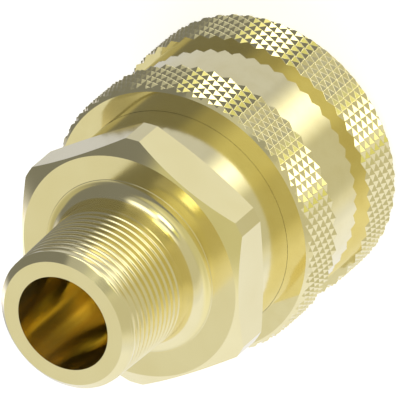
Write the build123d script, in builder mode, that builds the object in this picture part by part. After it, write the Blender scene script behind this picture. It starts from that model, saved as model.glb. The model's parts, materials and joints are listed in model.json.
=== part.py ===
"""Quick coupling, socket half: ball-locked, valved, with a male taper thread and a knurled sleeve.

Millimetres. The flow axis is +Z and the origin is the centre of the mouth, on which the coupling
stands. The plug enters from below, and the threaded end points up.
"""
from build123d import *
from math import cos, pi, radians, sin, sqrt, tan
import os

os.makedirs("parts", exist_ok=True)

# Clearances
RUNNING = 0.05  # radial, between pieces that slide or turn on each other
LOOSE = 0.25  # radial, between pieces that only pass or hold each other
END_GAP = 0.05  # axial, between a moving piece and its stop

# Outer shape, along the axis from the mouth up
NOSE_LIP = 1.0  # the body's nose stands this far out of the sleeve
FRONT_BAND_LENGTH = 15.4
GROOVE_LENGTH = 18.5
REAR_BAND_LENGTH = 14.1
SLEEVE_RESERVE = 4.3  # left between the sleeve and the hex when the sleeve is drawn back
HEX_LENGTH = 14.0
SHANK_LENGTH = 35.4  # from the hex to the end of the thread

# Strokes
SLEEVE_STROKE = 10.0
VALVE_STROKE = 8.0

# Radial thicknesses, from the plug's bore outwards
PLUG_BORE = 44.0
NOSE_WALL = 7.0
SPRING_SPACE = 4.3
SLEEVE_WALL = 4.7  # at the floor of the sleeve's groove
BAND_HEIGHT = 2.75  # of the knurl's points above that floor
HEX_STEP = 0.7  # of the hex's flats above the body
HEX_CORNER_STEP = 4.1  # of the turned corners above the flats

# Sleeve
KNURL_DEPTH = 1.13
KNURL_TEETH = 50
KNURL_ANGLE = 26.6  # of the grooves, from the plane of the mouth
SLEEVE_CHAMFER = 1.7
SKIRT_GAP = 2.2  # radial, round the nose, where the balls move out to

# Body
NOSE_CHAMFER = 1.0
PLUG_DEPTH = 33.0
PLUG_LEAD_IN = 1.5
PLUG_ENTRY_STEP = 0.3  # the bore is this much wider, in radius, before it reaches the balls
PLUG_ENTRY_LENGTH = 8.0
SEAT_BORE = 32.0
SEAT_THICKNESS = 4.0
CHAMBER_DIAMETER = 48.0

# Adapter
THREAD_DIAMETER = 41.12  # over the crests, at the small end
THREAD_TAPER = 1 / 16  # on the diameter
THREAD_FACE_DIAMETER = 37.0
PORT_BORE = 28.0
PORT_BORE_LENGTH = 32.4
PORT_THROAT = 40.0
NECK_FILLET = 4.4
FILLET_RIDGE = 0.15  # of the fillet's edge above the hex face
HEX_CHAMFER_ANGLE = 30.0
HEX_BACK_CHAMFER_ANGLE = 17.0
SPIGOT_COVER = 5.3  # of the body around the spigot
SPIGOT_WALL = 5.0  # around the valve guide
SPIGOT_LENGTH = 11.5

# Locking balls and stop ring
BALL_DIAMETER = 7.94
BALL_COUNT = 12
BALL_HEIGHT = 12.5
BALL_LIP = 7.2  # inner diameter of each ball's hole, so that the ball stays in
LAND_LENGTH = 10.4  # of the sleeve's land that holds the balls in
STOP_RING_WIRE = 1.7
STOP_RING_HEIGHT = 6.3
STOP_RING_GAP = 5.0
RING_GROOVE_DEPTH = 1.2

# Plug seal
PLUG_SEAL_SECTION = 3.53
PLUG_SEAL_HEIGHT = 22.0
BACKUP_THICKNESS = 1.4
PLUG_GLAND_DEPTH = 2.9
PLUG_GLAND_LENGTH = 6.4

# Adapter seal
ADAPTER_SEAL_SECTION = 2.62
ADAPTER_GLAND_LENGTH = 3.4
ADAPTER_GLAND_SETBACK = 2.0  # from the back of the hex

# Valve
POPPET_NOSE_DIAMETER = 12.0
POPPET_NOSE_LENGTH = 8.0
POPPET_FLANGE_DIAMETER = 40.0
POPPET_FLANGE_THICKNESS = 4.0
POPPET_PLUG_LENGTH = 4.0  # of the head that stands in the seat's bore
POPPET_SEAL_SECTION = 2.62
POPPET_SEAL_GLAND = 2.9
POPPET_BOSS_DIAMETER = 15.0
POPPET_BOSS_LENGTH = 2.0
STEM_DIAMETER = 8.0
STEM_PAST_GUIDE = 3.0
GUIDE_RIM_WIDTH = 4.0
GUIDE_RIM_THICKNESS = 3.5
GUIDE_HUB_DIAMETER = 15.0
GUIDE_HUB_LENGTH = 9.0
GUIDE_ARM_WIDTH = 5.0
GUIDE_ARM_COUNT = 4

# Springs
SLEEVE_SPRING_WIRE = 2.5
SLEEVE_SPRING_TURNS = 3.5
SPRING_WASHER_THICKNESS = 1.5
VALVE_SPRING_WIRE = 2.0
VALVE_SPRING_TURNS = 5.0
WIRE_SIDES = 8
COIL_RESERVE = 1.5  # left between all the coils together at full stroke

# Radii worked out from the thicknesses above
plug_radius = PLUG_BORE / 2
nose_radius = plug_radius + NOSE_WALL
body_radius = nose_radius + SPRING_SPACE
groove_radius = body_radius + SLEEVE_WALL
knurl_radius = groove_radius + BAND_HEIGHT
hex_flat_radius = body_radius + HEX_STEP
hex_corner_radius = hex_flat_radius + HEX_CORNER_STEP
spigot_radius = body_radius - SPIGOT_COVER
guide_radius = spigot_radius - SPIGOT_WALL
skirt_radius = nose_radius + SKIRT_GAP
sleeve_bore_radius = body_radius + RUNNING
land_radius = nose_radius + RUNNING
ball_radius = BALL_DIAMETER / 2
ball_pitch_radius = land_radius - LOOSE - ball_radius
ball_seat_radius = ball_pitch_radius - sqrt(ball_radius**2 - (BALL_LIP / 2) ** 2)

# Heights worked out from the lengths above
sleeve_front = NOSE_LIP
groove_front = sleeve_front + FRONT_BAND_LENGTH
groove_rear = groove_front + GROOVE_LENGTH
sleeve_rear = groove_rear + REAR_BAND_LENGTH
body_top = sleeve_rear + SLEEVE_STROKE + SLEEVE_RESERVE
hex_top = body_top + HEX_LENGTH
thread_end = hex_top + SHANK_LENGTH
land_front = STOP_RING_HEIGHT + STOP_RING_WIRE + END_GAP
land_rear = land_front + LAND_LENGTH
washer_top = land_rear + SPRING_WASHER_THICKNESS
sleeve_spring_solid = (SLEEVE_SPRING_TURNS + 1) * SLEEVE_SPRING_WIRE
spring_shoulder = washer_top + SLEEVE_STROKE + sleeve_spring_solid + COIL_RESERVE
seat_top = PLUG_DEPTH + SEAT_THICKNESS
flange_top = seat_top + POPPET_FLANGE_THICKNESS
valve_spring_solid = (VALVE_SPRING_TURNS + 1) * VALVE_SPRING_WIRE
hub_low = flange_top + VALVE_STROKE + valve_spring_solid + COIL_RESERVE
guide_seat = hub_low + GUIDE_RIM_THICKNESS
spigot_end = body_top - SPIGOT_LENGTH
chamber_top = spigot_end - END_GAP


def turned(outline):
    """A turned solid, from the (radius, height) points of its half section."""
    with BuildPart() as piece:
        with BuildSketch(Plane.XZ):
            with BuildLine():
                Polyline(*outline, close=True)
            make_face()
        revolve(axis=Axis.Z)
    return piece.part


def o_ring(centre_radius, height, section):
    """A seal ring of round section."""
    with BuildPart() as ring:
        with BuildSketch(Plane.XZ):
            with Locations((centre_radius, height)):
                Circle(section / 2)
        revolve(axis=Axis.Z)
    return ring.part


def coil_spring(mean_radius, wire, low, high, turns):
    """A compression spring whose ends are ground flat at both heights.

    The wire is drawn with WIRE_SIDES flat sides, which take a tenth of a round wire's facets.
    """
    pitch = (high - low) / turns
    with BuildPart() as spring:
        with BuildLine():
            path = Helix(pitch, high - low + wire, mean_radius, center=(0, 0, low - wire / 2))
        with BuildSketch(Plane(origin=path @ 0, z_dir=path % 0)):
            RegularPolygon(wire / 2, WIRE_SIDES)
        sweep(is_frenet=True)
        with BuildSketch(Plane.XY.offset(low)):
            Circle(mean_radius + wire)
        extrude(amount=high - low, mode=Mode.INTERSECT)
    return spring.part


def finish(piece, name):
    """Labels a finished piece and writes its file."""
    piece.label = name
    export_step(piece, f"parts/{name}.step")


def knurl_rows(low, high):
    """Rows of points of one knurled band, from its lower to its upper edge.

    Two crossing sets of V grooves leave four-sided pyramids. Every second point is a pyramid's tip,
    and those between are the crossings of the grooves, so a row is half a pyramid high.
    """
    half_width = pi * knurl_radius / KNURL_TEETH
    count = max(2, round((high - low) / (half_width * tan(radians(KNURL_ANGLE)))))
    rows = []
    for row in range(count + 1):
        height = low + (high - low) * row / count
        ring = []
        for column in range(2 * KNURL_TEETH):
            is_tip = (row + column) % 2 == 1
            radius = knurl_radius if is_tip else knurl_radius - KNURL_DEPTH
            angle = pi * column / KNURL_TEETH
            ring.append(Vector(radius * cos(angle), radius * sin(angle), height))
        rows.append(ring)
    return rows


def knurl_faces(rows):
    """The pyramids' faces: each tip is joined to the four crossings round it."""
    faces = []
    columns = len(rows[0])
    for row, ring in enumerate(rows):
        for column, tip in enumerate(ring):
            if (row + column) % 2 == 0:
                continue
            left = ring[column - 1]
            right = ring[(column + 1) % columns]
            if row > 0:
                below = rows[row - 1][column]
                faces.append(Face(Wire.make_polygon([left, below, tip])))
                faces.append(Face(Wire.make_polygon([below, right, tip])))
            if row < len(rows) - 1:
                above = rows[row + 1][column]
                faces.append(Face(Wire.make_polygon([right, above, tip])))
                faces.append(Face(Wire.make_polygon([above, left, tip])))
    return faces


def knurled_blank():
    """Both knurled bands, with a wider plain stretch where the sleeve's groove is."""
    front = knurl_rows(sleeve_front, groove_front)
    rear = knurl_rows(groove_rear, sleeve_rear)
    collar = knurl_radius + KNURL_DEPTH
    low_ring = Wire.make_circle(collar, Plane.XY.offset(groove_front))
    high_ring = Wire.make_circle(collar, Plane.XY.offset(groove_rear))
    faces = knurl_faces(front) + knurl_faces(rear)
    faces.append(Face(Wire.make_polygon(front[0])))
    faces.append(Face(low_ring, [Wire.make_polygon(front[-1])]))
    faces.append(Face(high_ring, [Wire.make_polygon(rear[0])]))
    faces.append(Face(Wire.make_polygon(rear[-1])))
    faces.append(Face.extrude(low_ring.edge(), Vector(0, 0, GROOVE_LENGTH)))
    return Solid(Shell(faces))


# Adapter: one turned hexagon bar with the taper thread, the fillet, the hex and the spigot
hex_chamfer_width = hex_corner_radius - body_radius
corner_drop = hex_chamfer_width * tan(radians(HEX_CHAMFER_ANGLE))
back_corner_drop = hex_chamfer_width * tan(radians(HEX_BACK_CHAMFER_ANGLE))
lead_chamfer = (THREAD_DIAMETER - THREAD_FACE_DIAMETER) / 2
thread_radius = THREAD_DIAMETER / 2
neck_radius = thread_radius + (SHANK_LENGTH - lead_chamfer) * THREAD_TAPER / 2
adapter_gland_top = body_top - ADAPTER_GLAND_SETBACK
adapter_gland_radius = spigot_radius - ADAPTER_SEAL_SECTION - RUNNING
ridge_top = hex_top + FILLET_RIDGE
throat_top = thread_end - PORT_BORE_LENGTH
throat_cone = (PORT_THROAT - PORT_BORE) / 2

with BuildPart() as adapter:
    with BuildSketch(Plane.XY.offset(body_top)):
        RegularPolygon(hex_flat_radius, 6, major_radius=False)
    extrude(amount=HEX_LENGTH)
    with BuildSketch(Plane.XZ):
        with BuildLine():
            Polyline(
                (0, body_top),
                (body_radius, body_top),
                (hex_corner_radius, body_top + back_corner_drop),
                (hex_corner_radius, hex_top - corner_drop),
                (body_radius, hex_top),
                (0, hex_top),
                close=True,
            )
        make_face()
    revolve(axis=Axis.Z, mode=Mode.INTERSECT)
    with BuildSketch(Plane.XZ):
        with BuildLine():
            Polyline(
                (0, spigot_end),
                (spigot_radius, spigot_end),
                (spigot_radius, adapter_gland_top - ADAPTER_GLAND_LENGTH),
                (adapter_gland_radius, adapter_gland_top - ADAPTER_GLAND_LENGTH),
                (adapter_gland_radius, adapter_gland_top),
                (spigot_radius, adapter_gland_top),
                (spigot_radius, hex_top),
                (neck_radius + NECK_FILLET + FILLET_RIDGE, hex_top),
                (neck_radius + NECK_FILLET, ridge_top),
                (neck_radius, ridge_top),
                (thread_radius, thread_end - lead_chamfer),
                (THREAD_FACE_DIAMETER / 2, thread_end),
                (0, thread_end),
                close=True,
            )
        make_face()
    revolve(axis=Axis.Z)
    ridge_edges = adapter.edges().filter_by(GeomType.CIRCLE).filter_by_position(Axis.Z, ridge_top, ridge_top)
    fillet(ridge_edges.sort_by(SortBy.RADIUS)[0], radius=NECK_FILLET)
    with BuildSketch(Plane.XZ):
        with BuildLine():
            Polyline(
                (0, spigot_end),
                (guide_radius, spigot_end),
                (guide_radius, guide_seat),
                (PORT_THROAT / 2, guide_seat),
                (PORT_THROAT / 2, throat_top - throat_cone),
                (PORT_BORE / 2, throat_top),
                (PORT_BORE / 2, thread_end),
                (0, thread_end),
                close=True,
            )
        make_face()
    revolve(axis=Axis.Z, mode=Mode.SUBTRACT)
finish(adapter.part, "adapter")

adapter_seal_radius = adapter_gland_radius + ADAPTER_SEAL_SECTION / 2
adapter_seal_height = adapter_gland_top - ADAPTER_GLAND_LENGTH / 2
finish(o_ring(adapter_seal_radius, adapter_seal_height, ADAPTER_SEAL_SECTION), "adapter_seal")

# Body: barrel with the plug's bore, the seal's gland, the valve seat and the balls' holes
entry_radius = plug_radius + PLUG_ENTRY_STEP
gland_radius = plug_radius + PLUG_GLAND_DEPTH
gland_low = PLUG_SEAL_HEIGHT - PLUG_SEAL_SECTION / 2 - BACKUP_THICKNESS - END_GAP
ring_groove_radius = nose_radius - RING_GROOVE_DEPTH
chamber_radius = CHAMBER_DIAMETER / 2

with BuildPart() as body:
    with BuildSketch(Plane.XZ):
        with BuildLine():
            Polyline(
                (entry_radius + PLUG_LEAD_IN, 0),
                (nose_radius - NOSE_CHAMFER, 0),
                (nose_radius, NOSE_CHAMFER),
                (nose_radius, STOP_RING_HEIGHT),
                (ring_groove_radius, STOP_RING_HEIGHT),
                (ring_groove_radius, STOP_RING_HEIGHT + STOP_RING_WIRE),
                (nose_radius, STOP_RING_HEIGHT + STOP_RING_WIRE),
                (nose_radius, spring_shoulder),
                (body_radius, spring_shoulder),
                (body_radius, body_top),
                (spigot_radius, body_top),
                (spigot_radius, chamber_top),
                (chamber_radius, chamber_top),
                (chamber_radius, seat_top),
                (SEAT_BORE / 2, seat_top),
                (SEAT_BORE / 2, PLUG_DEPTH),
                (plug_radius, PLUG_DEPTH),
                (plug_radius, gland_low + PLUG_GLAND_LENGTH),
                (gland_radius, gland_low + PLUG_GLAND_LENGTH),
                (gland_radius, gland_low),
                (plug_radius, gland_low),
                (plug_radius, PLUG_ENTRY_LENGTH),
                (entry_radius, PLUG_ENTRY_LENGTH - PLUG_ENTRY_STEP),
                (entry_radius, PLUG_LEAD_IN),
                close=True,
            )
        make_face()
    revolve(axis=Axis.Z)
    for index in range(BALL_COUNT):
        outward = Vector(1, 0, 0).rotate(Axis.Z, 360 * index / BALL_COUNT)
        hole = Plane(origin=(0, 0, BALL_HEIGHT), z_dir=outward)
        with BuildSketch(hole):
            Circle(BALL_LIP / 2)
        extrude(amount=nose_radius, mode=Mode.SUBTRACT)
        with BuildSketch(hole.offset(ball_seat_radius)):
            Circle(ball_radius + RUNNING)
        extrude(amount=nose_radius - ball_seat_radius, mode=Mode.SUBTRACT)
finish(body.part, "body")

for index in range(BALL_COUNT):
    place = Vector(ball_pitch_radius, 0, BALL_HEIGHT).rotate(Axis.Z, 360 * index / BALL_COUNT)
    with BuildPart() as ball:
        with Locations(place):
            Sphere(ball_radius)
    finish(ball.part, f"ball_{index + 1:02d}")

plug_seal_radius = gland_radius - PLUG_SEAL_SECTION / 2
finish(o_ring(plug_seal_radius, PLUG_SEAL_HEIGHT, PLUG_SEAL_SECTION), "plug_seal")

backup_ring = turned(
    [
        (plug_radius + RUNNING, gland_low),
        (gland_radius - RUNNING, gland_low),
        (gland_radius - RUNNING, gland_low + BACKUP_THICKNESS),
        (plug_radius + RUNNING, gland_low + BACKUP_THICKNESS),
    ]
)
finish(backup_ring, "backup_ring")

# Stop ring: a snap ring of square wire in the nose's groove, open at one side
ring_outer_radius = land_radius + STOP_RING_WIRE
with BuildPart() as stop_ring:
    with BuildSketch(Plane.XY.offset(STOP_RING_HEIGHT)):
        Circle(ring_outer_radius)
        Circle(ring_groove_radius + RUNNING, mode=Mode.SUBTRACT)
        with Locations((0, -ring_outer_radius)):
            Rectangle(STOP_RING_GAP, ring_outer_radius, mode=Mode.SUBTRACT)
    extrude(amount=STOP_RING_WIRE)
finish(stop_ring.part, "stop_ring")

# Sleeve: knurled outside, with the land that holds the balls and the spring's chamber inside
with BuildPart() as sleeve:
    with BuildSketch(Plane.XZ):
        with BuildLine():
            Polyline(
                (skirt_radius, sleeve_front),
                (knurl_radius - SLEEVE_CHAMFER, sleeve_front),
                (knurl_radius, sleeve_front + SLEEVE_CHAMFER),
                (knurl_radius, groove_front),
                (groove_radius, groove_front),
                (groove_radius, groove_rear),
                (knurl_radius, groove_rear),
                (knurl_radius, sleeve_rear - SLEEVE_CHAMFER),
                (knurl_radius - SLEEVE_CHAMFER, sleeve_rear),
                (sleeve_bore_radius, sleeve_rear),
                (sleeve_bore_radius, land_rear),
                (land_radius, land_rear),
                (land_radius, land_front),
                (skirt_radius, land_front),
                close=True,
            )
        make_face()
    revolve(axis=Axis.Z)
    add(knurled_blank(), mode=Mode.INTERSECT)
finish(sleeve.part, "sleeve")

# Washer and spring between the sleeve's land and the body's shoulder
spring_washer = turned(
    [
        (land_radius + LOOSE, land_rear),
        (sleeve_bore_radius - LOOSE, land_rear),
        (sleeve_bore_radius - LOOSE, washer_top),
        (land_radius + LOOSE, washer_top),
    ]
)
finish(spring_washer, "spring_washer")

spring_radius = (nose_radius + sleeve_bore_radius) / 2
sleeve_spring = coil_spring(
    spring_radius, SLEEVE_SPRING_WIRE, washer_top, spring_shoulder, SLEEVE_SPRING_TURNS
)
finish(sleeve_spring, "sleeve_spring")

# Poppet: nose that the plug pushes, head with its seal, and guided stem
boss_top = flange_top + POPPET_BOSS_LENGTH
plug_low = seat_top - POPPET_PLUG_LENGTH
poppet_plug_radius = SEAT_BORE / 2 - LOOSE
poppet_gland_radius = SEAT_BORE / 2 - RUNNING - POPPET_SEAL_SECTION
poppet_gland_low = seat_top - POPPET_PLUG_LENGTH / 2 - POPPET_SEAL_GLAND / 2
stem_top = hub_low + GUIDE_HUB_LENGTH + STEM_PAST_GUIDE
poppet = turned(
    [
        (0, plug_low - POPPET_NOSE_LENGTH),
        (POPPET_NOSE_DIAMETER / 2 - NOSE_CHAMFER, plug_low - POPPET_NOSE_LENGTH),
        (POPPET_NOSE_DIAMETER / 2, plug_low - POPPET_NOSE_LENGTH + NOSE_CHAMFER),
        (POPPET_NOSE_DIAMETER / 2, plug_low),
        (poppet_plug_radius, plug_low),
        (poppet_plug_radius, poppet_gland_low),
        (poppet_gland_radius, poppet_gland_low),
        (poppet_gland_radius, poppet_gland_low + POPPET_SEAL_GLAND),
        (poppet_plug_radius, poppet_gland_low + POPPET_SEAL_GLAND),
        (poppet_plug_radius, seat_top),
        (POPPET_FLANGE_DIAMETER / 2, seat_top),
        (POPPET_FLANGE_DIAMETER / 2, flange_top - NOSE_CHAMFER),
        (POPPET_FLANGE_DIAMETER / 2 - NOSE_CHAMFER, flange_top),
        (POPPET_BOSS_DIAMETER / 2, flange_top),
        (POPPET_BOSS_DIAMETER / 2, boss_top),
        (STEM_DIAMETER / 2, boss_top),
        (STEM_DIAMETER / 2, stem_top),
        (0, stem_top),
    ]
)
finish(poppet, "poppet")

poppet_seal_radius = poppet_gland_radius + POPPET_SEAL_SECTION / 2
poppet_seal_height = poppet_gland_low + POPPET_SEAL_GLAND / 2
finish(o_ring(poppet_seal_radius, poppet_seal_height, POPPET_SEAL_SECTION), "poppet_seal")

# Guide: rim, arms and hub in one piece, pushed against its step by the valve's spring
with BuildPart() as valve_guide:
    with BuildSketch(Plane.XY.offset(hub_low)):
        Circle(guide_radius - LOOSE)
        Circle(guide_radius - GUIDE_RIM_WIDTH, mode=Mode.SUBTRACT)
        with PolarLocations(0, GUIDE_ARM_COUNT):
            Rectangle(
                guide_radius - GUIDE_RIM_WIDTH / 2,
                GUIDE_ARM_WIDTH,
                align=(Align.MIN, Align.CENTER),
            )
    extrude(amount=GUIDE_RIM_THICKNESS)
    with BuildSketch(Plane.XY.offset(hub_low)):
        Circle(GUIDE_HUB_DIAMETER / 2)
    extrude(amount=GUIDE_HUB_LENGTH)
    with BuildSketch(Plane.XY.offset(hub_low)):
        Circle(STEM_DIAMETER / 2 + RUNNING)
    extrude(amount=GUIDE_HUB_LENGTH, mode=Mode.SUBTRACT)
finish(valve_guide.part, "valve_guide")

valve_spring_radius = POPPET_BOSS_DIAMETER / 2 + LOOSE + VALVE_SPRING_WIRE / 2
valve_spring = coil_spring(
    valve_spring_radius, VALVE_SPRING_WIRE, flange_top, hub_low, VALVE_SPRING_TURNS
)
finish(valve_spring, "valve_spring")
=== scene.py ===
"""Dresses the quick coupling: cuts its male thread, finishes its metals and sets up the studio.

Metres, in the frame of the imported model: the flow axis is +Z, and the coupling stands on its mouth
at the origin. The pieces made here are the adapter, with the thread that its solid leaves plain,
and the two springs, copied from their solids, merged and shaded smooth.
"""

import json
import math
from collections import namedtuple

import bpy
from mathutils import Matrix, Vector

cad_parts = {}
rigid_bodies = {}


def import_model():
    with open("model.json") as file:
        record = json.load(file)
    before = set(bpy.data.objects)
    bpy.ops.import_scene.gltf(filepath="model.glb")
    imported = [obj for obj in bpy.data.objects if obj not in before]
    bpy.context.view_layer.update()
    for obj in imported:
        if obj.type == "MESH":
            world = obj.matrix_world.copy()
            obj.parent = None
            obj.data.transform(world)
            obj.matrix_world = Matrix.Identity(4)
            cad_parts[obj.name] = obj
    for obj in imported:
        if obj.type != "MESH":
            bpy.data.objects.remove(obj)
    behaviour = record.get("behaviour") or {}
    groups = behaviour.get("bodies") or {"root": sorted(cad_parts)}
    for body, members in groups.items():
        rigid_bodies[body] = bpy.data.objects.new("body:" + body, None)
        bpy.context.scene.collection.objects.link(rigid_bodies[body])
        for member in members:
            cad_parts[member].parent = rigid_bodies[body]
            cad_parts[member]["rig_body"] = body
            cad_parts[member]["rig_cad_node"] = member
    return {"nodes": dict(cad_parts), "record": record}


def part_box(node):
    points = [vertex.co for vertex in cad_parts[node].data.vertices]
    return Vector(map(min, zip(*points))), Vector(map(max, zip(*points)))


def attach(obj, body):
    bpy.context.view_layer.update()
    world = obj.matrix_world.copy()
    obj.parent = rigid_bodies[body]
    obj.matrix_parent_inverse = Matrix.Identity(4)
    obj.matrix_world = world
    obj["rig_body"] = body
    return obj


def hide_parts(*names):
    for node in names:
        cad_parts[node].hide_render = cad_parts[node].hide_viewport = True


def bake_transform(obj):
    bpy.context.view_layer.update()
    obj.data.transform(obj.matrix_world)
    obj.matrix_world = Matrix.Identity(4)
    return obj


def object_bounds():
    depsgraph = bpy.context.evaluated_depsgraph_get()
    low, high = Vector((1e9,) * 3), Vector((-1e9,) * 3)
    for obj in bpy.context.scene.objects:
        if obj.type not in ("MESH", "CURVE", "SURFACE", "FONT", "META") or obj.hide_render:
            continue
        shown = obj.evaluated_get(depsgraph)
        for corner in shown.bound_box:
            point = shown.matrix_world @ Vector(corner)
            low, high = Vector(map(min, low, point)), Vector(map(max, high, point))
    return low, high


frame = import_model()

bl_info = {
    "name": "Quick Coupling Dresser",
    "version": (1, 0, 0),
    "blender": (4, 5, 0),
    "location": "3D View > Sidebar > Coupling",
    "description": "Cuts the thread, finishes the metals and lights the quick coupling",
    "category": "Object",
}

MM = 0.001
CAD_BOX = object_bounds()
THREAD_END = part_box("adapter")[1].z
HELIX_STEPS = 144
GROOVE_POINTS = 16
SHORT_FLANK = 0.24  # of the pitch
SHORT_FLANK_BOW = 1.8
LONG_FLANK_BOW = 1.15
RUN_OUT = 1.7  # pitches over which the groove fades out
NECK_SHARE = 3  # the shank starts a pitch divided by this below the groove
SPARE_TURNS = 4  # of the screw past the thread, trimmed off at both ends
MERGE_DISTANCE = 0.0005 * MM
TRIM_MERGE_DISTANCE = 0.002 * MM
LEVEL_TOLERANCE = 0.001 * MM
BORE_TOLERANCE = 0.01 * MM

# Angles in degrees up to which a piece is shaded smooth
BODY_SHADING = 15
SHANK_SHADING = 44
COIL_SHADING = 50

# The knurl's flanks are the faces whose normal rises or falls this much along the flow axis. Only
# their crests are rounded.
FLANK_RISE = 0.6
FLANK_RISE_TOLERANCE = 0.06
CREST_ROUNDING = 0.18 * MM
CREST_SAMPLES = 8

STREAK_WIDTH = 5 * MM
STREAK_LENGTH = 200 * MM
BORE_ANISOTROPY = 0.9
BORE_SMEAR_TURN = 0.25  # of a full turn, so that reflections smear along the bore

FLOOR_SIZE = 6.0
FLOOR_DROP = 0.02 * MM  # below the rim that the coupling stands on
SENSOR_WIDTH = 36.0

# The photograph is a square of this many pixels, and the centre of the end face is at this one
PICTURE_PIXELS = 400
END_FACE_X = 64.2
END_FACE_Y = 322.4

# Panels of the studio, seen from the part. Angles are in degrees: azimuth from the camera, positive
# to the camera's right, then elevation, half width, half height and soft edge. A brightness of 1 is
# as bright as white.
Panel = namedtuple("Panel", "azimuth elevation half_width half_height edge brightness colour")
PANELS = {
    "left_wall": Panel(-133, -13, 49, 69, 36, 0.87, "#EEF0FF"),
    "left_front": Panel(-48, -11, 38, 60, 19, 0.40, "#FFFAD8"),
    "low_front": Panel(5, -33, 14, 31, 31, 1.70, "#FFFFFB"),
    "high_front": Panel(12, 26, 12, 10, 10, 2.5, "#FFFFFE"),
    "gold_card": Panel(12, 27, 24, 9, 9, 0.45, "#FFFF28"),
    "right_strip": Panel(41, 3, 19, 12, 15, 1.70, "#FDFDFF"),
    "right_haze": Panel(41, 23, 26, 20, 9, 0.27, "#FEFFFC"),
    "low_right": Panel(94, -71, 68, 34, 25, 0.52, "#EBEDFF"),
    "right_back": Panel(161, -7, 6, 24, 22, 2.02, "#E8E7FF"),
    "ceiling": Panel(-57, 75, 127, 25, 19, 0.42, "#FFF9B3"),
    "high_back": Panel(161, 37, 18, 14, 8, 0.30, "#FFF4A0"),
    "above_front": Panel(12, 52, 27, 8, 31, 0.47, "#FEFFE8"),
}


class ThreadSizes(bpy.types.PropertyGroup):
    """Sizes of the taper thread on the adapter."""

    pitch: bpy.props.FloatProperty(
        name="Pitch",
        description="Distance between two crests",
        default=2.309 * MM,
        unit="LENGTH",
        precision=5,
    )
    crest_radius: bpy.props.FloatProperty(
        name="Crest radius",
        description="Radius over the crests at the small end",
        default=20.56 * MM,
        unit="LENGTH",
        precision=5,
    )
    taper: bpy.props.FloatProperty(
        name="Taper",
        description="Growth of the radius with each unit of length",
        default=1 / 32,
    )
    groove_depth: bpy.props.FloatProperty(
        name="Groove depth",
        description="Depth of the groove below the crests",
        default=0.28 * MM,
        unit="LENGTH",
        precision=5,
    )
    length: bpy.props.FloatProperty(
        name="Thread length",
        description="Distance from the end face to where the groove runs out",
        default=28.4 * MM,
        unit="LENGTH",
        precision=5,
    )
    first_crest: bpy.props.FloatProperty(
        name="First crest",
        description="Distance from the end face to the first whole crest, on the +X side",
        default=2.35 * MM,
        unit="LENGTH",
        precision=5,
    )
    face_radius: bpy.props.FloatProperty(
        name="End face radius",
        description="Radius of the flat end face inside its chamfer",
        default=18.5 * MM,
        unit="LENGTH",
        precision=5,
    )
    bore_radius: bpy.props.FloatProperty(
        name="Bore radius",
        description="Radius of the flow bore",
        default=14.0 * MM,
        unit="LENGTH",
        precision=5,
    )


class MetalColours(bpy.types.PropertyGroup):
    """Colours of the metals and seals, as sRGB hex values."""

    brass: bpy.props.StringProperty(
        name="Brass", description="Colour of bright turned brass", default="#F1E6B0"
    )
    brass_film: bpy.props.StringProperty(
        name="Brass film",
        description="Colour of brass where handling has dulled it",
        default="#EEE2AA",
    )
    # Painted reflections: the bore's light and dark streaks are painted into its colour and stand in
    # for reflections seen down the bore. Both are a deeper gold than the outer brass, painted in for
    # light thrown from wall to wall.
    bore_painted_light_streaks: bpy.props.StringProperty(
        name="Bore, light",
        description="Colour of the light streaks in the bore",
        default="#FFF0A0",
    )
    bore_painted_dark_streaks: bpy.props.StringProperty(
        name="Bore, dark", description="Colour of the dark streaks in the bore", default="#E6C468"
    )
    spring_steel: bpy.props.StringProperty(
        name="Spring steel", description="Colour of drawn spring wire", default="#B4B4B2"
    )
    spring_film: bpy.props.StringProperty(
        name="Spring film",
        description="Colour of the drawing film on spring wire",
        default="#9C9C9A",
    )
    ball_steel: bpy.props.StringProperty(
        name="Ball steel", description="Colour of ground bearing balls", default="#D6D6D4"
    )
    rubber: bpy.props.StringProperty(
        name="Rubber", description="Colour of the nitrile rubber seals", default="#1B1B1A"
    )
    rubber_grease: bpy.props.StringProperty(
        name="Greased rubber",
        description="Colour of the rubber under a film of grease",
        default="#2A2A28",
    )
    fluoropolymer: bpy.props.StringProperty(
        name="Backup ring", description="Colour of the backup ring", default="#E8E6DE"
    )
    fluoropolymer_shade: bpy.props.StringProperty(
        name="Backup ring shade",
        description="Colour in the backup ring's tool marks",
        default="#DAD7CC",
    )


class StudioSettings(bpy.types.PropertyGroup):
    """Where the camera stands and how the studio is lit."""

    azimuth: bpy.props.FloatProperty(
        name="Camera azimuth",
        description="Direction from the part to the camera, from +X, in degrees",
        default=-41.7,
    )
    elevation: bpy.props.FloatProperty(
        name="Camera elevation",
        description="Angle of the camera above the floor, in degrees",
        default=48.5,
    )
    roll: bpy.props.FloatProperty(
        name="Camera roll",
        description="Turn of the picture, anticlockwise, in degrees",
        default=130.8,
    )
    picture_width: bpy.props.FloatProperty(
        name="Picture width",
        description="Width of what the picture shows at the part",
        default=108.9 * MM,
        unit="LENGTH",
    )
    focal_length: bpy.props.FloatProperty(
        name="Focal length",
        description="Of the lens, in millimetres. The photograph has almost no perspective",
        default=1500.0,
    )
    floor_colour: bpy.props.StringProperty(
        name="Floor", description="Colour of the floor, as an sRGB hex value", default="#F4F4F2"
    )
    floor_glow: bpy.props.FloatProperty(
        name="Floor white",
        description="How much of the floor's white the camera sees whatever the light",
        default=0.6,
    )
    room_colour: bpy.props.StringProperty(
        name="Room", description="Colour of the room between the panels", default="#83848A"
    )


def srgb(hex_colour):
    """Linear colour with alpha from an sRGB hex value."""
    channels = [int(hex_colour[i : i + 2], 16) / 255 for i in (1, 3, 5)]
    linear = [c / 12.92 if c <= 0.04045 else ((c + 0.055) / 1.055) ** 2.4 for c in channels]
    return (*linear, 1.0)


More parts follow.
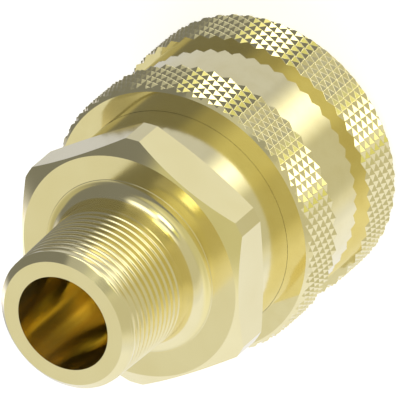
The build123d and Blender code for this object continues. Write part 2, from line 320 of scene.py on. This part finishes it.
def add_node(tree, kind, settings=None, inputs=None):
    """Adds a shader node, sets its properties, and fills or links its input sockets."""
    node = tree.nodes.new(kind)
    for name, value in (settings or {}).items():
        setattr(node, name, value)
    for name, value in (inputs or {}).items():
        if isinstance(value, bpy.types.NodeSocket):
            tree.links.new(value, node.inputs[name])
        else:
            node.inputs[name].default_value = value
    return node


def new_material(name):
    """An empty material, its node tree and its output node."""
    material = bpy.data.materials.new(name)
    material.use_nodes = True
    material.node_tree.nodes.clear()
    output = add_node(material.node_tree, "ShaderNodeOutputMaterial")
    return material, material.node_tree, output


def ring_marks(tree, spacing):
    """Noise in rings round the flow axis, as a turning tool leaves it, on walls and end faces."""
    position = add_node(tree, "ShaderNodeTexCoord").outputs["Object"]
    parts = add_node(tree, "ShaderNodeSeparateXYZ", inputs={"Vector": position})
    flat = add_node(
        tree, "ShaderNodeCombineXYZ", inputs={"X": parts.outputs["X"], "Y": parts.outputs["Y"]}
    )
    radius = add_node(
        tree, "ShaderNodeVectorMath", {"operation": "LENGTH"}, {"Vector": flat.outputs["Vector"]}
    )
    unrolled = add_node(
        tree, "ShaderNodeCombineXYZ", inputs={"X": radius.outputs["Value"], "Z": parts.outputs["Z"]}
    )
    rings = add_node(
        tree,
        "ShaderNodeTexNoise",
        inputs={"Vector": unrolled.outputs["Vector"], "Scale": 1 / spacing, "Detail": 3.0},
    )
    return rings.outputs["Fac"]


def clouds(tree, size):
    """Soft patches of about the given size, from 0 to 1."""
    position = add_node(tree, "ShaderNodeTexCoord").outputs["Object"]
    noise = add_node(
        tree, "ShaderNodeTexNoise", inputs={"Vector": position, "Scale": 1 / size, "Detail": 2.0}
    )
    patches = add_node(
        tree,
        "ShaderNodeMapRange",
        inputs={"Value": noise.outputs["Fac"], "From Min": 0.38, "From Max": 0.68},
    )
    return patches.outputs["Result"]


def between(tree, amount, low, high):
    """A number from low to high, as amount goes from 0 to 1."""
    span = add_node(
        tree, "ShaderNodeMapRange", inputs={"Value": amount, "To Min": low, "To Max": high}
    )
    return span.outputs["Result"]


def mixed_colour(tree, amount, first, second):
    """A colour from first to second, as amount goes from 0 to 1."""
    ramp = add_node(tree, "ShaderNodeValToRGB", inputs={"Fac": amount})
    ramp.color_ramp.elements[0].color = srgb(first)
    ramp.color_ramp.elements[1].color = srgb(second)
    return ramp.outputs["Color"]


def turned_brass(colours):
    """Free-cutting brass, turned and left bright.

    The tool's rings are finer than the picture can show, so they are drawn 0.5 mm apart and faint.
    They blur the reflections a little in bands, and handling leaves a film that is a shade deeper.
    """
    material, tree, output = new_material("turned_brass")
    rings = ring_marks(tree, 0.5 * MM)
    bump = add_node(
        tree, "ShaderNodeBump", inputs={"Height": rings, "Strength": 0.06, "Distance": 0.01 * MM}
    )
    shader = add_node(
        tree,
        "ShaderNodeBsdfPrincipled",
        inputs={
            "Base Color": mixed_colour(
                tree, clouds(tree, 16 * MM), colours.brass, colours.brass_film
            ),
            "Metallic": 1.0,
            "Roughness": between(tree, rings, 0.11, 0.17),
            "Normal": bump.outputs["Normal"],
        },
    )
    tree.links.new(shader.outputs["BSDF"], output.inputs["Surface"])
    return material


def bored_brass(colours):
    """Brass inside the flow bore, left as the boring tool left it.

    The tool's rings are too fine to see, and smear reflections into streaks along the bore. Painted
    reflections run the same way: soft light and dark streaks painted into the colour. Light thrown
    from wall to wall deepens to gold, and the colour is painted a deeper gold than the outer brass
    on top of that.
    """
    material, tree, output = new_material("bored_brass")
    position = add_node(tree, "ShaderNodeTexCoord").outputs["Object"]
    stretched = add_node(
        tree,
        "ShaderNodeVectorMath",
        {"operation": "MULTIPLY"},
        {0: position, 1: (1 / STREAK_WIDTH, 1 / STREAK_WIDTH, 1 / STREAK_LENGTH)},
    )
    # Noise streaks along the bore: they set the painted light and dark reflection streaks in the
    # colour, and the roughness
    streaks = add_node(
        tree,
        "ShaderNodeTexNoise",
        inputs={"Vector": stretched.outputs["Vector"], "Scale": 1.0, "Detail": 2.0},
    )
    contrast = add_node(
        tree,
        "ShaderNodeMapRange",
        inputs={"Value": streaks.outputs["Fac"], "From Min": 0.36, "From Max": 0.64},
    )
    amount = contrast.outputs["Result"]
    shader = add_node(
        tree,
        "ShaderNodeBsdfPrincipled",
        inputs={
            # Painted reflections: light and dark streaks painted into the base colour
            "Base Color": mixed_colour(tree, amount, colours.bore_painted_dark_streaks, colours.bore_painted_light_streaks),
            "Metallic": 1.0,
            "Roughness": between(tree, amount, 0.24, 0.16),
            "Anisotropic": BORE_ANISOTROPY,
            "Anisotropic Rotation": BORE_SMEAR_TURN,
            "Tangent": add_node(
                tree, "ShaderNodeTangent", {"direction_type": "RADIAL", "axis": "Z"}
            ).outputs["Tangent"],
        },
    )
    tree.links.new(shader.outputs["BSDF"], output.inputs["Surface"])
    return material


def knurled_brass(colours):
    """The same brass where the knurling wheels have pressed it into points.

    Pressing burnishes the flanks, so they shine more evenly than a turned face does. Their crests
    are shaded a little round, and the sleeve's other faces are shaded as they are.
    """
    material, tree, output = new_material("knurled_brass")
    patches = clouds(tree, 5 * MM)
    true_normal = add_node(tree, "ShaderNodeNewGeometry").outputs["True Normal"]
    rise = add_node(tree, "ShaderNodeSeparateXYZ", inputs={"Vector": true_normal}).outputs["Z"]
    steepness = add_node(tree, "ShaderNodeMath", {"operation": "ABSOLUTE"}, {0: rise})
    is_flank = add_node(
        tree,
        "ShaderNodeMath",
        {"operation": "COMPARE"},
        {0: steepness.outputs["Value"], 1: FLANK_RISE, 2: FLANK_RISE_TOLERANCE},
    )
    radius = add_node(
        tree,
        "ShaderNodeMath",
        {"operation": "MULTIPLY"},
        {0: is_flank.outputs["Value"], 1: CREST_ROUNDING},
    )
    crests = add_node(
        tree, "ShaderNodeBevel", {"samples": CREST_SAMPLES}, {"Radius": radius.outputs["Value"]}
    )
    shader = add_node(
        tree,
        "ShaderNodeBsdfPrincipled",
        inputs={
            "Base Color": mixed_colour(tree, patches, colours.brass, colours.brass_film),
            "Metallic": 1.0,
            "Roughness": between(tree, patches, 0.06, 0.10),
            "Normal": crests.outputs["Normal"],
        },
    )
    tree.links.new(shader.outputs["BSDF"], output.inputs["Surface"])
    return material


def spring_steel(colours):
    """Drawn spring wire: a grey steel with faint patches of its drawing film."""
    material, tree, output = new_material("drawn_spring_steel")
    patches = clouds(tree, 3 * MM)
    shader = add_node(
        tree,
        "ShaderNodeBsdfPrincipled",
        inputs={
            "Base Color": mixed_colour(tree, patches, colours.spring_steel, colours.spring_film),
            "Metallic": 1.0,
            "Roughness": between(tree, patches, 0.24, 0.36),
        },
    )
    tree.links.new(shader.outputs["BSDF"], output.inputs["Surface"])
    return material


def ball_steel(colours):
    """Ground bearing balls: a white, almost perfect mirror."""
    material, tree, output = new_material("ground_ball_steel")
    patches = clouds(tree, 2 * MM)
    shader = add_node(
        tree,
        "ShaderNodeBsdfPrincipled",
        inputs={
            "Base Color": mixed_colour(tree, patches, colours.ball_steel, colours.spring_steel),
            "Metallic": 1.0,
            "Roughness": between(tree, patches, 0.05, 0.09),
        },
    )
    tree.links.new(shader.outputs["BSDF"], output.inputs["Surface"])
    return material


def nitrile_rubber(colours):
    """Moulded nitrile rubber: black, with a film of grease that gives it a soft sheen."""
    material, tree, output = new_material("nitrile_rubber")
    patches = clouds(tree, 4 * MM)
    shader = add_node(
        tree,
        "ShaderNodeBsdfPrincipled",
        inputs={
            "Base Color": mixed_colour(tree, patches, colours.rubber, colours.rubber_grease),
            "Roughness": between(tree, patches, 0.38, 0.52),
        },
    )
    tree.links.new(shader.outputs["BSDF"], output.inputs["Surface"])
    return material


def fluoropolymer(colours):
    """Turned fluoropolymer: waxy white, with the tool's rings just showing."""
    material, tree, output = new_material("turned_fluoropolymer")
    rings = ring_marks(tree, 0.4 * MM)
    shader = add_node(
        tree,
        "ShaderNodeBsdfPrincipled",
        inputs={
            "Base Color": mixed_colour(
                tree, rings, colours.fluoropolymer, colours.fluoropolymer_shade
            ),
            "Roughness": between(tree, rings, 0.40, 0.50),
        },
    )
    tree.links.new(shader.outputs["BSDF"], output.inputs["Surface"])
    return material


def give(piece, material):
    """Leaves one material on a piece."""
    piece.data.materials.clear()
    piece.data.materials.append(material)


def select_only(piece):
    """Makes a piece the one that operators act on."""
    if bpy.context.object and bpy.context.object.mode != "OBJECT":
        bpy.ops.object.mode_set(mode="OBJECT")
    bpy.ops.object.select_all(action="DESELECT")
    piece.hide_set(False)
    piece.select_set(True)
    bpy.context.view_layer.objects.active = piece


def copy_of_solid(node):
    """A copy of a solid's mesh with its triangles merged, as a new piece on no body."""
    piece = frame["nodes"][node].copy()
    piece.data = piece.data.copy()
    piece.parent = None
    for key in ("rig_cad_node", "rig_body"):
        del piece[key]
    bpy.context.scene.collection.objects.link(piece)
    select_only(piece)
    bpy.ops.object.mode_set(mode="EDIT")
    bpy.ops.mesh.select_all(action="SELECT")
    bpy.ops.mesh.remove_doubles(threshold=MERGE_DISTANCE)
    bpy.ops.object.mode_set(mode="OBJECT")
    return piece


def shade_to(angle):
    """Shades the active piece smooth up to an angle in degrees, and drops its solid's normals."""
    bpy.ops.mesh.customdata_custom_splitnormals_clear()
    bpy.ops.object.shade_smooth_by_angle(angle=math.radians(angle))


def select_ring(piece, height, low, high):
    """Selects the edges at one height whose ends lie between two radii, from and to edit mode."""
    bpy.ops.mesh.select_all(action="DESELECT")
    bpy.ops.object.mode_set(mode="OBJECT")
    mesh = piece.data
    for edge in mesh.edges:
        ends = [mesh.vertices[index].co for index in edge.vertices]
        level = all(abs(end.z - height) < LEVEL_TOLERANCE for end in ends)
        edge.select = level and all(low < end.xy.length < high for end in ends)
    bpy.ops.object.mode_set(mode="EDIT")
    bpy.ops.mesh.select_mode(type="EDGE")


class COUPLING_OT_adapter(bpy.types.Operator):
    """Cuts the taper thread on the adapter"""

    bl_idname = "object.coupling_adapter"
    bl_label = "Adapter with thread"

    def execute(self, context):
        thread = context.scene.coupling_thread
        hexagon = self.body_below_the_thread(thread)
        shank = self.threaded_shank(thread)
        select_only(hexagon)
        shank.select_set(True)
        bpy.ops.object.join()
        hexagon.name = "adapter_with_thread"
        give(hexagon, turned_brass(context.scene.coupling_colours))
        self.finish_bore(hexagon, thread, bored_brass(context.scene.coupling_colours))
        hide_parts("adapter")
        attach(hexagon, "body")
        return {"FINISHED"}

    def finish_bore(self, piece, thread, material):
        """Gives the walls of the bore their own material."""
        piece.data.materials.append(material)
        for face in piece.data.polygons:
            face.material_index = int(face.center.xy.length < thread.bore_radius + BORE_TOLERANCE)

    def neck_height(self, thread):
        """Where the copy of the solid ends and the threaded shank begins, in the plain neck."""
        return THREAD_END - thread.length - thread.pitch / NECK_SHARE

    def body_below_the_thread(self, thread):
        """A copy of the solid, cut off at the neck."""
        piece = copy_of_solid("adapter")
        bpy.ops.object.mode_set(mode="EDIT")
        bpy.ops.mesh.select_all(action="SELECT")
        height = self.neck_height(thread)
        bpy.ops.mesh.bisect(plane_co=(0, 0, height), plane_no=(0, 0, 1), clear_outer=True)
        select_ring(piece, height, 0, 1)
        bpy.ops.mesh.bridge_edge_loops()
        bpy.ops.object.mode_set(mode="OBJECT")
        shade_to(BODY_SHADING)
        return piece

    def threaded_shank(self, thread):
        """The shank above the neck, with its groove, lead chamfer, end face and bore."""
        bpy.ops.object.select_all(action="DESELECT")
        bpy.ops.mesh.primitive_plane_add(size=thread.pitch)
        piece = bpy.context.object
        piece.name = "threaded_shank"
        bpy.ops.object.mode_set(mode="EDIT")
        bpy.ops.mesh.select_mode(type="VERT")
        bpy.ops.mesh.select_all(action="SELECT")
        bpy.ops.mesh.merge(type="CENTER")
        first, *rest = self.groove_outline(thread)
        bpy.ops.transform.translate(value=first)
        last = first
        for point in rest:
            bpy.ops.mesh.extrude_vertices_move(TRANSFORM_OT_translate={"value": point - last})
            last = point
        bpy.ops.object.mode_set(mode="OBJECT")
        turns = math.ceil(thread.length / thread.pitch) + SPARE_TURNS
        screw = piece.modifiers.new("helix", "SCREW")
        screw.steps = screw.render_steps = HELIX_STEPS
        screw.screw_offset = thread.pitch
        screw.iterations = turns
        screw.use_merge_vertices = True
        screw.merge_threshold = MERGE_DISTANCE
        bpy.ops.object.modifier_apply(modifier=screw.name)
        self.taper_and_trim(piece.data, thread)
        self.close_shank(piece, thread)
        shade_to(SHANK_SHADING)
        return piece

    def groove_outline(self, thread):
        """One pitch from crest to crest, upwards: a short flank first, then a long one."""
        turns = math.ceil(thread.length / thread.pitch) + 1
        start = THREAD_END - thread.first_crest - turns * thread.pitch
        points = []
        for step in range(GROOVE_POINTS + 1):
            along = step / GROOVE_POINTS
            if along < SHORT_FLANK:
                depth = (along / SHORT_FLANK) ** SHORT_FLANK_BOW
            else:
                depth = ((1 - along) / (1 - SHORT_FLANK)) ** LONG_FLANK_BOW
            radius = thread.crest_radius - depth * thread.groove_depth
            points.append(Vector((radius, 0, start + along * thread.pitch)))
        return points

    def taper_and_trim(self, mesh, thread):
        """Tapers the screw surface, lets the groove run out and cuts both ends square."""
        low = self.neck_height(thread)
        for vertex in mesh.vertices:
            radius = vertex.co.xy.length
            depth = thread.crest_radius - radius
            height = min(max(vertex.co.z, low), THREAD_END)
            from_end = THREAD_END - height
            left = min(1.0, max(0.0, (thread.length - from_end) / thread.pitch / RUN_OUT))
            fade = left * left * (3 - 2 * left)
            cone = thread.crest_radius + from_end * thread.taper
            new_radius = min(cone - depth * fade, thread.face_radius + from_end)
            vertex.co.x *= new_radius / radius
            vertex.co.y *= new_radius / radius
            vertex.co.z = height

    def close_shank(self, piece, thread):
        """Merges the trimmed ends and adds the end face, the bore and the hidden foot."""
        low = self.neck_height(thread)
        select_only(piece)
        bpy.ops.object.mode_set(mode="EDIT")
        bpy.ops.mesh.select_all(action="SELECT")
        bpy.ops.mesh.remove_doubles(threshold=TRIM_MERGE_DISTANCE)
        bpy.ops.mesh.select_all(action="SELECT")
        bpy.ops.mesh.dissolve_degenerate(threshold=TRIM_MERGE_DISTANCE)
        select_ring(piece, THREAD_END, 0, 1)
        bpy.ops.mesh.extrude_edges_move()
        shrink = thread.bore_radius / thread.face_radius
        bpy.ops.transform.resize(value=(shrink, shrink, 1), center_override=(0, 0, THREAD_END))
        bpy.ops.mesh.extrude_edges_move(TRANSFORM_OT_translate={"value": (0, 0, low - THREAD_END)})
        select_ring(piece, low, 0, 1)
        bpy.ops.mesh.bridge_edge_loops()
        bpy.ops.mesh.select_all(action="SELECT")
        bpy.ops.mesh.normals_make_consistent(inside=False)
        bpy.ops.object.mode_set(mode="OBJECT")


class COUPLING_OT_springs(bpy.types.Operator):
    """Copies the two springs from their solids, shades them smooth and gives them spring steel"""

    bl_idname = "object.coupling_springs"
    bl_label = "Springs"

    def execute(self, context):
        steel = spring_steel(context.scene.coupling_colours)
        for node, moving_body in (("sleeve_spring", "washer"), ("valve_spring", "valve")):
            spring = copy_of_solid(node)
            spring.name = f"{node}_coils"
            shade_to(COIL_SHADING)
            give(spring, steel)
            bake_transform(spring)
            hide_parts(node)
        return {"FINISHED"}


class COUPLING_OT_finishes(bpy.types.Operator):
    """Gives each piece of the coupling its metal, rubber or plastic"""

    bl_idname = "object.coupling_finishes"
    bl_label = "Finishes"

    def execute(self, context):
        colours = context.scene.coupling_colours
        by_slot = {
            "brass": turned_brass(colours),
            "steel": spring_steel(colours),
            "ball_steel": ball_steel(colours),
            "rubber": nitrile_rubber(colours),
            "ptfe": fluoropolymer(colours),
        }
        for part in frame["record"]["subparts"]:
            give(frame["nodes"][part["node"]], by_slot[part["material_slot"]])
        give(frame["nodes"]["sleeve"], knurled_brass(colours))
        return {"FINISHED"}


class COUPLING_OT_stage(bpy.types.Operator):
    """Lays the floor, hangs the studio's panels and sets up the camera"""

    bl_idname = "object.coupling_stage"
    bl_label = "Studio"

    def execute(self, context):
        studio = context.scene.coupling_studio
        context.scene.view_settings.view_transform = "Standard"
        self.lay_floor(studio)
        self.light_world(studio)
        self.set_camera(context, studio)
        return {"FINISHED"}

    def lay_floor(self, studio):
        """A pale floor. The camera sees it as white, with the part's soft shadow left in.

        Mirror rays pass through it to the room, and so does a camera that looks from below.
        """
        bpy.ops.object.select_all(action="DESELECT")
        bpy.ops.mesh.primitive_plane_add(size=FLOOR_SIZE, location=(0, 0, -FLOOR_DROP))
        floor = bpy.context.object
        floor.name = "floor"
        material, tree, output = new_material("pale_floor")
        light_path = add_node(tree, "ShaderNodeLightPath").outputs
        seen = add_node(
            tree,
            "ShaderNodeMath",
            {"operation": "MULTIPLY"},
            {0: light_path["Is Camera Ray"], 1: studio.floor_glow},
        )
        emission = add_node(tree, "ShaderNodeEmission", inputs={"Strength": seen.outputs["Value"]})
        diffuse = add_node(
            tree, "ShaderNodeBsdfDiffuse", inputs={"Color": srgb(studio.floor_colour)}
        )
        both = add_node(
            tree,
            "ShaderNodeAddShader",
            inputs={0: emission.outputs["Emission"], 1: diffuse.outputs["BSDF"]},
        )
        from_below = add_node(tree, "ShaderNodeNewGeometry").outputs["Backfacing"]
        is_clear = add_node(
            tree,
            "ShaderNodeMath",
            {"operation": "MAXIMUM"},
            {0: light_path["Is Glossy Ray"], 1: from_below},
        )
        clear = add_node(tree, "ShaderNodeBsdfTransparent")
        mix = add_node(
            tree,
            "ShaderNodeMixShader",
            inputs={
                "Fac": is_clear.outputs["Value"],
                1: both.outputs["Shader"],
                2: clear.outputs["BSDF"],
            },
        )
        tree.links.new(mix.outputs["Shader"], output.inputs["Surface"])
        give(floor, material)

    def light_world(self, studio):
        """A dim room with soft panels round the part, which the brass shows as bright bands."""
        world = bpy.data.worlds.new("studio_room")
        bpy.context.scene.world = world
        world.use_nodes = True
        tree = world.node_tree
        tree.nodes.clear()
        direction = add_node(tree, "ShaderNodeTexCoord").outputs["Generated"]
        light = srgb(studio.room_colour)[:3]
        for panel in PANELS.values():
            full = [channel * panel.brightness for channel in srgb(panel.colour)[:3]]
            light = add_node(
                tree,
                "ShaderNodeVectorMath",
                {"operation": "MULTIPLY_ADD"},
                {0: self.inside_panel(tree, direction, studio.azimuth, panel), 1: full, 2: light},
            ).outputs["Vector"]
        room = add_node(tree, "ShaderNodeBackground", inputs={"Color": light})
        white = add_node(tree, "ShaderNodeBackground", inputs={"Color": (1, 1, 1, 1)})
        camera_ray = add_node(tree, "ShaderNodeLightPath").outputs["Is Camera Ray"]
        mix = add_node(
            tree,
            "ShaderNodeMixShader",
            inputs={
                "Fac": camera_ray,
                1: room.outputs["Background"],
                2: white.outputs["Background"],
            },
        )
        output = add_node(tree, "ShaderNodeOutputWorld")
        tree.links.new(mix.outputs["Shader"], output.inputs["Surface"])

    def inside_panel(self, tree, direction, camera_azimuth, panel):
        """How far a direction lies inside a panel, from 0 to 1, with soft edges."""
        turned = add_node(
            tree,
            "ShaderNodeVectorRotate",
            {"rotation_type": "Z_AXIS"},
            {"Vector": direction, "Angle": -math.radians(camera_azimuth + panel.azimuth)},
        )
        parts = add_node(tree, "ShaderNodeSeparateXYZ", inputs={"Vector": turned.outputs["Vector"]})
        sideways = add_node(
            tree,
            "ShaderNodeMath",
            {"operation": "ARCTAN2"},
            {0: parts.outputs["Y"], 1: parts.outputs["X"]},
        )
        upwards = add_node(
            tree, "ShaderNodeMath", {"operation": "ARCSINE"}, {0: parts.outputs["Z"]}
        )
        raised = add_node(
            tree,
            "ShaderNodeMath",
            {"operation": "SUBTRACT"},
            {0: upwards.outputs["Value"], 1: math.radians(panel.elevation)},
        )
        across = self.within(tree, sideways.outputs["Value"], panel.half_width, panel.edge)
        along = self.within(tree, raised.outputs["Value"], panel.half_height, panel.edge)
        both = add_node(tree, "ShaderNodeMath", {"operation": "MULTIPLY"}, {0: across, 1: along})
        return both.outputs["Value"]

    def within(self, tree, angle, half_width, edge):
        """1 within half_width of 0, falling to 0 over the soft edge."""
        size = add_node(tree, "ShaderNodeMath", {"operation": "ABSOLUTE"}, {0: angle})
        fall = add_node(
            tree,
            "ShaderNodeMapRange",
            {"interpolation_type": "SMOOTHSTEP"},
            {
                "Value": size.outputs["Value"],
                "From Min": math.radians(half_width - edge / 2),
                "From Max": math.radians(half_width + edge / 2),
                "To Min": 1.0,
                "To Max": 0.0,
            },
        )
        return fall.outputs["Result"]

    def set_camera(self, context, studio):
        """A long lens at the photograph's angle, with the end face where the photograph has it."""
        azimuth = math.radians(studio.azimuth)
        elevation = math.radians(studio.elevation)
        away = Vector((math.cos(azimuth), math.sin(azimuth), 0)) * math.cos(elevation)
        back = away + Vector((0, 0, math.sin(elevation)))
        level_up = (Vector((0, 0, 1)) - back * back.z).normalized()
        roll = Matrix.Rotation(-math.radians(studio.roll), 3, back)
        up = roll @ level_up
        right = up.cross(back)
        pixel = studio.picture_width / PICTURE_PIXELS
        end_face = Vector((0, 0, THREAD_END))
        centre = end_face + right * (PICTURE_PIXELS / 2 - END_FACE_X) * pixel
        centre = centre - up * (PICTURE_PIXELS / 2 - END_FACE_Y) * pixel
        middle = (CAD_BOX[0] + CAD_BOX[1]) / 2
        centre = centre + back * (middle - centre).dot(back)
        bpy.ops.object.camera_add()
        camera = bpy.context.object
        camera.data.sensor_width = SENSOR_WIDTH
        camera.data.lens = studio.focal_length
        distance = studio.picture_width * studio.focal_length / SENSOR_WIDTH
        camera.data.clip_start = distance / 10
        camera.data.clip_end = distance * 3
        turn = Matrix((right, up, back)).transposed()
        camera.matrix_world = Matrix.Translation(centre + back * distance) @ turn.to_4x4()
        context.scene.camera = camera


class COUPLING_PT_panel(bpy.types.Panel):
    """Lists the coupling's settings and steps"""

    bl_idname = "COUPLING_PT_panel"
    bl_label = "Quick coupling"
    bl_space_type = "VIEW_3D"
    bl_region_type = "UI"
    bl_category = "Coupling"

    def draw(self, context):
        for group in ("coupling_thread", "coupling_colours", "coupling_studio"):
            settings = getattr(context.scene, group)
            box = self.layout.box()
            for name in settings.__annotations__:
                box.prop(settings, name)
        for step in STEPS:
            self.layout.operator(f"object.{step}")


GROUPS = {
    "coupling_thread": ThreadSizes,
    "coupling_colours": MetalColours,
    "coupling_studio": StudioSettings,
}
STEPS = ("coupling_adapter", "coupling_springs", "coupling_finishes", "coupling_stage")
OPERATORS = (COUPLING_OT_adapter, COUPLING_OT_springs, COUPLING_OT_finishes, COUPLING_OT_stage)


def register():
    for name, group in GROUPS.items():
        bpy.utils.register_class(group)
        setattr(bpy.types.Scene, name, bpy.props.PointerProperty(type=group))
    for operator in OPERATORS:
        bpy.utils.register_class(operator)
    bpy.utils.register_class(COUPLING_PT_panel)


def unregister():
    bpy.utils.unregister_class(COUPLING_PT_panel)
    for operator in reversed(OPERATORS):
        bpy.utils.unregister_class(operator)
    for name, group in reversed(GROUPS.items()):
        delattr(bpy.types.Scene, name)
        bpy.utils.unregister_class(group)


def main():
    register()
    for step in STEPS:
        getattr(bpy.ops.object, step)()


if __name__ == "__main__":
    main()
